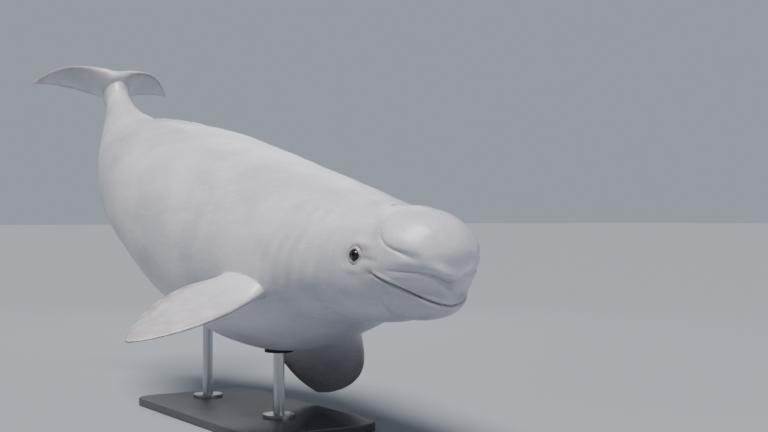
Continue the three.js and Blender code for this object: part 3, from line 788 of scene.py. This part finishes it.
def wrapped(name, columns, rows, place):
    """A flat grid rolled into a closed skin. `place` takes each point's share of the way round
    and along, and gives its place in metres and its marks."""
    clear_selection()
    bpy.ops.mesh.primitive_grid_add(x_subdivisions=columns, y_subdivisions=rows, size=2)
    piece = bpy.context.object
    piece.name = name
    flat = points_of(piece)
    around = np.round((flat[:, 0] + 1) / 2 * columns) / columns
    along = np.round((flat[:, 1] + 1) / 2 * rows) / rows
    places, marks = place(around, along)
    write(piece.data.vertices, "co", places)
    set_marks(piece, np.concatenate([marks, np.ones((len(marks), 1))], 1))
    bpy.ops.object.mode_set(mode="EDIT")
    bpy.ops.mesh.select_all(action="SELECT")
    bpy.ops.mesh.remove_doubles(threshold=MERGE_GAP)
    bpy.ops.mesh.normals_make_consistent(inside=False)
    bpy.ops.object.mode_set(mode="OBJECT")
    return piece


def apply_all(piece):
    activate(piece)
    for modifier in list(piece.modifiers):
        bpy.ops.object.modifier_apply(modifier=modifier.name)


def join_solid(piece, other):
    """The other closed mesh becomes part of the piece."""
    union = piece.modifiers.new("Union", "BOOLEAN")
    union.operation = "UNION"
    union.solver = "MANIFOLD"
    union.object = other
    apply_all(piece)
    bpy.data.objects.remove(other, do_unlink=True)


def tree_of(points):
    tree = KDTree(len(points))
    for i, point in enumerate(points):
        tree.insert(point, i)
    tree.balance()
    return tree


def distances(points, others, most):
    """Distance from each point to the nearest other one, up to the most that matters."""
    low, high = points.min(0) - most, points.max(0) + most
    tree = tree_of(others[np.all((others > low) & (others < high), 1)])
    low, high = others.min(0) - most, others.max(0) + most
    near = np.full(len(points), most)
    for i in np.nonzero(np.all((points > low) & (points < high), 1))[0]:
        near[i] = min(most, tree.find(points[i])[2] or most)
    return near


def flare(blade, body, amount, width):
    """Swells a blade where it meets the body, and keeps its edge marks off the root."""
    points = points_of(blade)
    normals = read(blade.data.vertices, "normal", 3)
    near = distances(points, body, NEAR_BODY)
    places = points + normals * (amount * np.exp(-near / width))[:, None]
    write(blade.data.vertices, "co", places)
    marks = marks_of(blade)
    marks[:, :3] *= step(*EDGE_MARKS_START, near)[:, None]
    set_marks(blade, marks)
    return places, marks


def soften_joint(piece, body, blade, reach, passes):
    """Rounds the corner where a blade leaves the body."""
    points = points_of(piece)
    away = np.maximum(distances(points, body, reach), distances(points, blade, reach))
    weight = 1 - step(0.3 * reach, reach, away)
    group = piece.vertex_groups.new(name="joint")
    for i in np.nonzero(weight > 0.01)[0]:
        group.add([int(i)], float(weight[i]), "REPLACE")
    smooth = piece.modifiers.new("Round", "SMOOTH")
    smooth.vertex_group = group.name
    smooth.factor = 0.5
    smooth.iterations = passes
    apply_all(piece)
    piece.vertex_groups.clear()


def body_skin(shape):
    rows = body_rows()

    def place(around, along):
        turn = 2 * np.pi * around + SIDE_CROWDING * np.sin(4 * np.pi * around)
        number = np.round(along * (len(rows) - 1)).astype(int)
        back, up, swing = rows[number].T
        swing = np.radians(swing)
        level = np.cos(swing)
        way = np.stack([-np.sin(swing), level * np.sin(turn), level * np.cos(turn)], 1)
        start = np.stack([back, np.zeros(len(back)), up], 1)
        point = skin_from(start, way)
        raised, marks = body_relief(shape, point)
        point = point + skin_normal(point) * raised[:, None] * 1000
        nose = np.isclose(swing, np.pi / 2)
        point[nose] = point[nose].mean(0)
        point[number == len(rows) - 1] = (STOCK_END, 0, STOCK_END_UP)
        return placed(point), marks

    return wrapped("whale_skin", shape.columns, len(rows) - 1, place)


def rim_marks(rim):
    return np.stack([rim * 0, np.clip(rim, 0, 1), rim * 0], 1)


def fluke_skin():
    def place(around, along):
        point, rim = fluke_points(around * 2 * np.pi, along * 2 - 1)
        return finished(point), rim_marks(rim)

    return wrapped("flukes", *FLUKE_GRID, place)


def flipper_skin(flipper):
    def place(around, along):
        point, rim = flipper_points(flipper, around * 2 * np.pi, along)
        return placed(point), rim_marks(rim)

    return wrapped("flipper", *FLIPPER_GRID, place)


# Materials
class Wire:
    """A value in a material, so that sums on it can be written out."""

    def __init__(self, tree, socket):
        self.tree = tree
        self.socket = socket

    def sum_node(self, operation, *values):
        node = self.tree.nodes.new("ShaderNodeMath")
        node.operation = operation
        for socket, value in zip(node.inputs, values):
            feed(self.tree, socket, value)
        return Wire(self.tree, node.outputs[0])

    def __add__(self, other):
        return self.sum_node("ADD", self, other)

    def __sub__(self, other):
        return self.sum_node("SUBTRACT", self, other)

    def __rsub__(self, other):
        return self.sum_node("SUBTRACT", other, self)

    def __mul__(self, other):
        return self.sum_node("MULTIPLY", self, other)

    def __pow__(self, other):
        return self.sum_node("POWER", self, other)

    __radd__ = __add__
    __rmul__ = __mul__

    def clamped(self):
        node = self * 1.0
        node.socket.node.use_clamp = True
        return node


def feed(tree, socket, value):
    if isinstance(value, Wire):
        tree.links.new(value.socket, socket)
    elif hasattr(socket.default_value, "__len__") and len(socket.default_value) == 4:
        socket.default_value = (*value, 1.0) if len(value) == 3 else value
    else:
        socket.default_value = value


class Finish:
    """A material and its nodes. Lengths and scales in its patterns are those of metres."""

    def __init__(self, name, **constants):
        self.material = bpy.data.materials.new(name)
        self.material.use_nodes = True
        self.tree = self.material.node_tree
        self.shader = self.tree.nodes["Principled BSDF"]
        for socket, value in constants.items():
            self.set(socket.replace("_", " ").title().replace("Ior", "IOR"), value)

    def set(self, socket, value):
        feed(self.tree, self.shader.inputs[socket], value)

    def node(self, kind, settings=None, sockets=None, output=0):
        node = self.tree.nodes.new(kind)
        for name, value in (settings or {}).items():
            setattr(node, name, value)
        for name, value in (sockets or {}).items():
            feed(self.tree, node.inputs[name], value)
        return Wire(self.tree, node.outputs[output])

    def place(self):
        return self.node("ShaderNodeTexCoord", output="Object")

    def noise(self, scale, detail=3.0, roughness=0.5, stretch=None):
        where = self.place()
        if stretch:
            where = self.node("ShaderNodeMapping", sockets={"Vector": where, "Scale": stretch})
        sockets = {"Vector": where, "Scale": scale, "Detail": detail, "Roughness": roughness}
        return self.node("ShaderNodeTexNoise", sockets=sockets, output="Fac")

    def between(self, share, low, high):
        """0 below `low` and 1 above `high`."""
        sockets = {"Value": share, "From Min": low, "From Max": high}
        settings = {"interpolation_type": "SMOOTHSTEP"}
        return self.node("ShaderNodeMapRange", settings, sockets)

    def parts(self, layer):
        """The three values of a colour attribute."""
        colour = self.node("ShaderNodeVertexColor", {"layer_name": layer})
        split = self.node("ShaderNodeSeparateColor", sockets={"Color": colour})
        return (Wire(self.tree, socket) for socket in split.socket.node.outputs)

    def mix(self, share, first, second):
        sockets = {0: share, 6: first, 7: second}
        return self.node("ShaderNodeMix", {"data_type": "RGBA"}, sockets, output=2)

    def bump(self, height, strength, distance):
        sockets = {"Height": height, "Strength": strength, "Distance": distance}
        self.set("Normal", self.node("ShaderNodeBump", sockets=sockets))


FLECK = (0.86, 0.87, 0.90)
SCRATCH = (0.84, 0.84, 0.88)
EYE_DARK = (0.010, 0.011, 0.014)
PUPIL = (0.002, 0.002, 0.003)
EYE_WHITE = (0.16, 0.14, 0.15)
RUBBER = (0.018, 0.018, 0.020)


def skin_finish(colours):
    finish = Finish(
        "whale_skin", coat_roughness=0.22, subsurface_weight=0.06, subsurface_scale=0.02,
        ior=1.42)
    crease, rim, blush = finish.parts("marks")
    broad = finish.between(finish.noise(2.6, detail=4.0, roughness=0.55), 0.38, 0.66)
    streaks = finish.noise(9.0, detail=5.0, roughness=0.6, stretch=(0.35, 1.0, 1.0))
    streaks = finish.between(streaks, 0.45, 0.72)
    flecks = finish.between(finish.noise(120.0, detail=2.0), 0.60, 0.78)
    scratches = finish.noise(7.0, detail=2.0, stretch=(0.5, 2.2, 5.0))
    scratches = 1 - finish.between((scratches - 0.5) ** 2, 0.0, 0.00006)
    patches = (broad * 0.55 + streaks * 0.32).clamped()
    colour = finish.mix(patches, tuple(colours.skin), tuple(colours.shade))
    colour = finish.mix(flecks * 0.16, colour, FLECK)
    colour = finish.mix(scratches * 0.30, colour, SCRATCH)
    colour = finish.mix((blush * 0.55).clamped(), colour, tuple(colours.blush))
    worn = finish.between(finish.noise(24.0, detail=4.0, roughness=0.6), 0.30, 0.62)
    colour = finish.mix((rim * (0.35 + worn * 0.55)).clamped(), colour, tuple(colours.rim))
    # Painted shade: the crease mark darkens the skin in its creases, slits and hollows
    colour = finish.mix((crease * 0.92).clamped(), colour, tuple(colours.crease))
    finish.set("Base Color", colour)
    finish.set("Roughness", 0.40 + broad * 0.08 + flecks * 0.06)
    finish.set("Coat Weight", 0.30 - crease * 0.2)
    pores = finish.noise(230.0, detail=2.0) * 0.35
    soft = finish.noise(34.0)
    wrinkles = finish.noise(7.0, roughness=0.55, stretch=(6.0, 1.6, 1.3))
    finish.bump(soft + pores + wrinkles * 1.3, strength=0.32, distance=0.004)
    return finish.material


def eye_finish(colours):
    finish = Finish("whale_eye", roughness=0.10, coat_weight=0.35, coat_roughness=0.02, ior=1.36)
    pupil, iris, white = finish.parts("marks")
    rays = finish.noise(420.0, roughness=0.6)
    colour = finish.mix(iris * (0.5 + rays), EYE_DARK, tuple(colours.eye))
    colour = finish.mix(pupil, colour, PUPIL)
    colour = finish.mix(white, colour, EYE_WHITE)
    finish.set("Base Color", colour)
    return finish.material


def paint_finish(colours):
    finish = Finish("stand_paint", base_color=tuple(colours.paint), coat_weight=0.15)
    finish.set("Roughness", 0.42 + finish.noise(6.0, detail=4.0) * 0.16)
    finish.bump(finish.noise(900.0, detail=2.0), strength=0.12, distance=0.0006)
    return finish.material


def steel_finish(colours):
    finish = Finish("stand_steel", base_color=tuple(colours.steel), metallic=1.0)
    brushed = finish.noise(600.0, detail=2.0, stretch=(1.0, 1.0, 0.02))
    finish.set("Roughness", 0.24 + brushed * 0.22)
    finish.bump(brushed, strength=0.10, distance=0.0004)
    return finish.material


def rubber_finish():
    finish = Finish("stand_rubber", base_color=RUBBER)
    finish.set("Roughness", 0.62 + finish.noise(200.0) * 0.2)
    return finish.material


def floor_finish(stage):
    return Finish("floor", base_color=tuple(stage.floor), roughness=0.85).material


# Operators
class WHALE_OT_skin(bpy.types.Operator):
    """Makes the whale's skin: one closed surface over the body, flippers and flukes"""

    bl_idname = "whale.skin"
    bl_label = "Skin"

    def execute(self, context):
        shape = context.scene.whale_shape
        skin = body_skin(shape)
        body = points_of(skin)
        sources = [(body, marks_of(skin))]
        blades = [(fluke_skin(), FLUKE_JOINT)]
        blades += [(flipper_skin(flipper), FLIPPER_JOINT) for flipper in FLIPPERS]
        for blade, joint in blades:
            sources.append(flare(blade, body, joint["swell"], joint["fade"]))
            join_solid(skin, blade)
        for (blade, _), (_, joint) in zip(sources[1:], blades):
            soften_joint(skin, body, blade, joint["reach"], joint["passes"])
        tree = tree_of(np.concatenate([points for points, _ in sources]))
        marks = np.concatenate([marks for _, marks in sources])
        nearest = [tree.find(point)[1] for point in points_of(skin)]
        set_marks(skin, marks[nearest])
        activate(skin)
        bpy.ops.object.shade_smooth()
        skin.data.materials.clear()
        skin.data.materials.append(skin_finish(context.scene.whale_colours))
        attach(skin, "root")
        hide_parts(*FLESH, *BLADES)
        return {"FINISHED"}


# The eyeball: angles in degrees from the middle of the pupil, and how far it bulges there
EYE_BALL = {"pupil": (11, 15), "iris": (12, 17), "iris_end": (38, 46), "white": (46, 58)}
EYE_BULGE = {"height": 0.035, "edge": (0.80, 0.97)}
EYE_FIT = 0.985
WHITE_SHARE = 0.35


class WHALE_OT_eyes(bpy.types.Operator):
    """Makes both eyes: dark rounded balls with iris and pupil"""

    bl_idname = "whale.eyes"
    bl_label = "Eyes"

    def execute(self, context):
        finish = eye_finish(context.scene.whale_colours)
        for hand, side in ((1, "left"), (-1, "right")):
            centre = placed(eye_centre(hand)[None])[0]
            skin, normal, _, _ = eye_frame(hand)
            outward = placed((skin + normal * 40)[None])[0] - centre
            outward /= np.linalg.norm(outward)
            clear_selection()
            bpy.ops.mesh.primitive_uv_sphere_add(segments=48, ring_count=32, radius=1.0)
            eye = bpy.context.object
            eye.name = f"eye_ball_{side}"
            unit = points_of(eye)
            axis = Vector(outward).to_track_quat("Z", "Y").to_matrix()
            turned = unit @ np.array(axis).T
            cosine = unit[:, 2]
            bulge = 1 + EYE_BULGE["height"] * step(*EYE_BULGE["edge"], cosine)
            places = centre + turned * bulge[:, None] * EYE["radius"] / 1000 * EYE_FIT
            write(eye.data.vertices, "co", places)
            angle = np.degrees(np.arccos(np.clip(cosine, -1, 1)))
            marks = np.stack([
                1 - step(*EYE_BALL["pupil"], angle),
                step(*EYE_BALL["iris"], angle) * (1 - step(*EYE_BALL["iris_end"], angle)),
                step(*EYE_BALL["white"], angle) * WHITE_SHARE,
                np.ones(len(angle)),
            ], 1)
            set_marks(eye, marks)
            bpy.ops.object.shade_smooth()
            eye.data.materials.append(finish)
            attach(eye, "root")
            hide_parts(f"eye_{side}")
        return {"FINISHED"}


class WHALE_OT_stand(bpy.types.Operator):
    """Gives the stand's base, rods, flanges and pads their finishes"""

    bl_idname = "whale.stand"
    bl_label = "Stand"

    def execute(self, context):
        colours = context.scene.whale_colours
        finishes = {
            "stand_base": paint_finish(colours),
            "stand_rod": steel_finish(colours),
            "stand_pad": rubber_finish(),
        }
        finishes["stand_flange"] = finishes["stand_rod"]
        for name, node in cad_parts.items():
            kind = "_".join(name.split("_")[:2])
            if kind in finishes:
                node.data.materials.clear()
                node.data.materials.append(finishes[kind])
        return {"FINISHED"}


FLOOR = {"size": 240, "up": -0.0005}
STAGE_MIDDLE = (0, 0, 0.8)
WARM = (1.0, 0.98, 0.95)
COOL = (0.92, 0.96, 1.0)
SKY_COLOUR = (0.74, 0.84, 0.94)
# Added to the sky's strength only where the camera sees it
SKY_SEEN = 0.27


def add_light(name, kind, place, power, colour, **settings):
    data = bpy.data.lights.new(name, kind)
    data.energy = power
    data.color = colour
    for setting, value in settings.items():
        setattr(data, setting, value)
    lamp = bpy.data.objects.new(name, data)
    lamp.location = place
    way = Vector(STAGE_MIDDLE) - Vector(place)
    lamp.rotation_euler = way.to_track_quat("-Z", "Y").to_euler()
    bpy.context.collection.objects.link(lamp)


class WHALE_OT_stage(bpy.types.Operator):
    """Makes the floor, the lights and the camera"""

    bl_idname = "whale.stage"
    bl_label = "Stage"

    def execute(self, context):
        look = context.scene.whale_stage
        clear_selection()
        bpy.ops.mesh.primitive_plane_add(size=FLOOR["size"], location=(0, 0, FLOOR["up"]))
        floor = bpy.context.object
        floor.name = "floor"
        floor.data.materials.append(floor_finish(look))
        add_light("overhead", "SUN", (0.2, -1.5, 5.0), look.sun, WARM, angle=0.5)
        add_light("front", "AREA", (4.6, 1.6, 1.9), look.fill, COOL, size=2.4)
        add_light("rear", "AREA", (-4.4, 3.0, 3.6), look.fill * 1.6, COOL, size=2.6)
        world = context.scene.world or bpy.data.worlds.new("studio")
        context.scene.world = world
        world.use_nodes = True
        tree = world.node_tree
        sky = tree.nodes["Background"]
        feed(tree, sky.inputs["Color"], SKY_COLOUR)
        sight = Wire(tree, tree.nodes.new("ShaderNodeLightPath").outputs["Is Camera Ray"])
        feed(tree, sky.inputs["Strength"], sight * SKY_SEEN + look.sky)
        data = bpy.data.cameras.new("camera")
        data.sensor_width = 36
        data.lens = data.sensor_width * FOCAL_PIXELS / FRAME_WIDTH
        camera = bpy.data.objects.new("camera", data)
        camera.location = (np.array(CAMERA) + SHIFT) / 1000
        camera.rotation_euler = (math.radians(90), 0, math.radians(CAMERA_AZIMUTH))
        context.collection.objects.link(camera)
        context.scene.camera = camera
        return {"FINISHED"}


class WHALE_PT_panel(bpy.types.Panel):
    """Lists the whale's pieces and settings"""

    bl_label = "Whale"
    bl_idname = "WHALE_PT_panel"
    bl_space_type = "VIEW_3D"
    bl_region_type = "UI"
    bl_category = "Whale"

    def draw(self, context):
        for kind in OPERATORS:
            self.layout.operator(kind.bl_idname)
        for setting in GROUPS:
            group = getattr(context.scene, setting)
            box = self.layout.box()
            for name in group.__annotations__:
                box.prop(group, name)


GROUPS = {"whale_shape": WhaleShape, "whale_colours": WhaleColours, "whale_stage": StageLook}
OPERATORS = (WHALE_OT_stage, WHALE_OT_skin, WHALE_OT_eyes, WHALE_OT_stand)
CLASSES = (*GROUPS.values(), *OPERATORS, WHALE_PT_panel)


def register():
    for kind in CLASSES:
        bpy.utils.register_class(kind)
    for name, group in GROUPS.items():
        setattr(bpy.types.Scene, name, PointerProperty(type=group))


def unregister():
    for name in GROUPS:
        delattr(bpy.types.Scene, name)
    for kind in reversed(CLASSES):
        bpy.utils.unregister_class(kind)


def main():
    register()
    bpy.ops.whale.stage()
    bpy.ops.whale.skin()
    bpy.ops.whale.eyes()
    bpy.ops.whale.stand()


if __name__ == "__main__":
    main()
